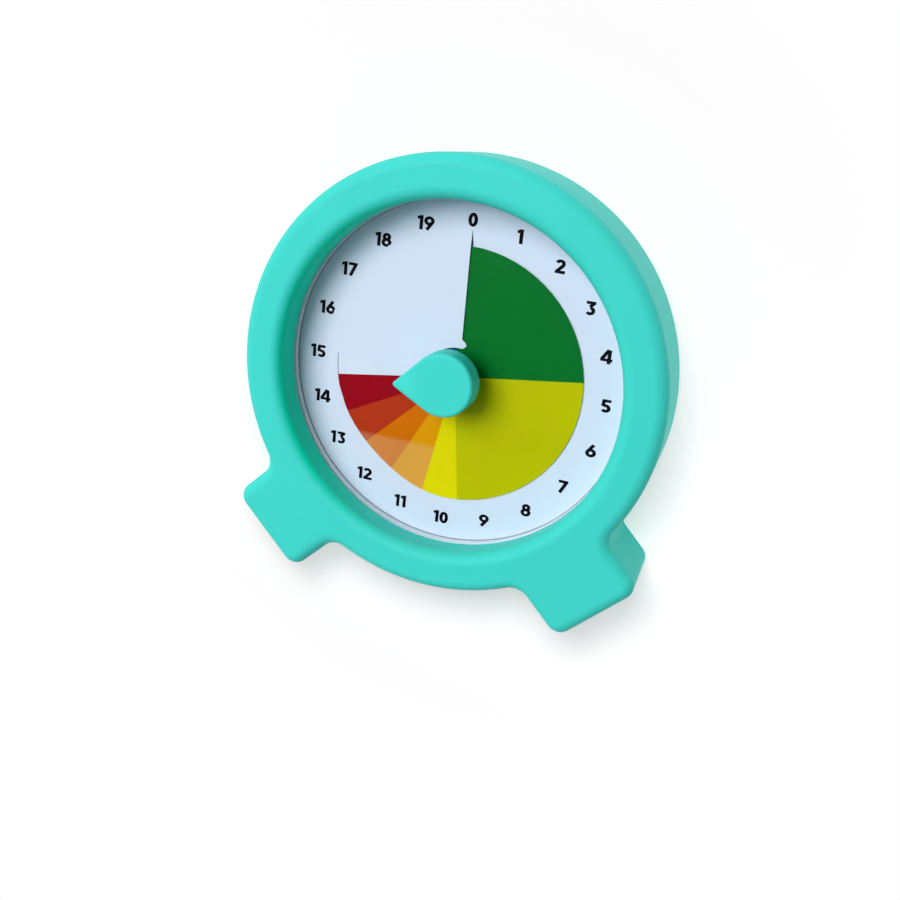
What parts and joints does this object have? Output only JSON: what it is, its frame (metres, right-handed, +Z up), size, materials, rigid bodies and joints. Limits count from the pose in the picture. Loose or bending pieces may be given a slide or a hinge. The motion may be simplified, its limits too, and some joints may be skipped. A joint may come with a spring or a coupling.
{
  "type": "visual countdown timer",
  "caption": "Round wind-up visual timer on two legs: a teardrop knob turns a coloured film through a slit in a numbered dial, behind a clear lens.",
  "frame": {"origin": "on the ground under the middle of the case, between the two legs", "axes": "X to the right seen from the front, +Y towards the back of the case, +Z up"},
  "size_m": [0.18, 0.038, 0.1857],
  "materials": {
    "teal_plastic": "soft satin",
    "white_plastic": "satin",
    "clear_lens": "clear, glossy",
    "dial_card": "smooth printed card",
    "colour_film": "satin printed film",
    "hub_plastic": "satin",
    "screw_steel": "zinc plated",
    "arbor_steel": "turned",
    "spring_steel": "blued",
    "brass": "rolled",
    "bell_chrome": "nickel plated"
  },
  "bodies": {
    "case": {"case_shell": "teal_plastic", "back_cover": "teal_plastic", "case_screws": "screw_steel", "dial_tray": "white_plastic", "tray_screws": "screw_steel", "lens": "clear_lens", "dial_face": "dial_card", "spring_cup": "arbor_steel", "mainspring": "spring_steel", "front_plate": "brass", "rear_plate": "brass", "plate_pillars": "arbor_steel", "plate_screws": "screw_steel", "bell": "bell_chrome", "bell_post": "brass", "bell_screw": "screw_steel"},
    "arbor_set": {"knob": "teal_plastic", "main_arbor": "arbor_steel", "main_wheel": "brass", "ratchet_wheel": "arbor_steel", "click_stud": "arbor_steel", "trip_cam": "brass"},
    "film": {"film_disc": "colour_film", "film_hub": "hub_plastic"},
    "click": {"click": "arbor_steel"},
    "second_set": {"second_arbor": "arbor_steel", "second_wheel": "brass", "second_pinion": "arbor_steel"},
    "escape_set": {"escape_arbor": "arbor_steel", "escape_wheel": "brass", "escape_pinion": "arbor_steel"},
    "anchor_set": {"anchor_arbor": "arbor_steel", "anchor": "arbor_steel", "balance_bar": "brass"},
    "hammer_set": {"hammer_arbor": "arbor_steel", "hammer": "arbor_steel"}
  },
  "joints": [
    {"name": "knob_turn", "type": "hinge", "parent": "case", "child": "arbor_set", "pos_m": [0, 0.0007, 0.09571], "axis": [0, 1, 0], "range_deg": [-261, 87]},
    {"name": "film_float", "type": "slide", "parent": "arbor_set", "child": "film", "axis": [0, -1, 0], "range_m": [-0.00102, 0.00034]},
    {"name": "click_lift", "type": "hinge", "parent": "arbor_set", "child": "click", "pos_m": [-0.00226, 0.0007, 0.08291], "axis": [0, -1, 0], "range_deg": [0, 10], "stiffness_Nm_per_rad": 0.001, "springref_deg": -5.73},
    {"name": "second_turn", "type": "hinge", "parent": "case", "child": "second_set", "pos_m": [-0.01838, 0.0007, 0.08029], "axis": [0, 1, 0], "range_deg": [-609, 1827]},
    {"name": "escape_turn", "type": "hinge", "parent": "case", "child": "escape_set", "pos_m": [-0.01386, 0.0007, 0.06338], "axis": [0, 1, 0], "range_deg": [-10962, 3654]},
    {"name": "anchor_rock", "type": "hinge", "parent": "case", "child": "anchor_set", "pos_m": [-0.00126, 0.0007, 0.06338], "axis": [0, 1, 0], "range_deg": [-2, 2]},
    {"name": "hammer_swing", "type": "hinge", "parent": "case", "child": "hammer_set", "pos_m": [0.02, 0.0007, 0.07171], "axis": [0, 1, 0], "range_deg": [-6, 1.7], "stiffness_Nm_per_rad": 0.02}
  ],
  "couplings": [
    {"joint": "film_float", "follows": "knob_turn", "m_per_rad": 0.00022282},
    {"joint": "second_turn", "follows": "knob_turn", "ratio": -7},
    {"joint": "escape_turn", "follows": "knob_turn", "ratio": 42}
  ]
}
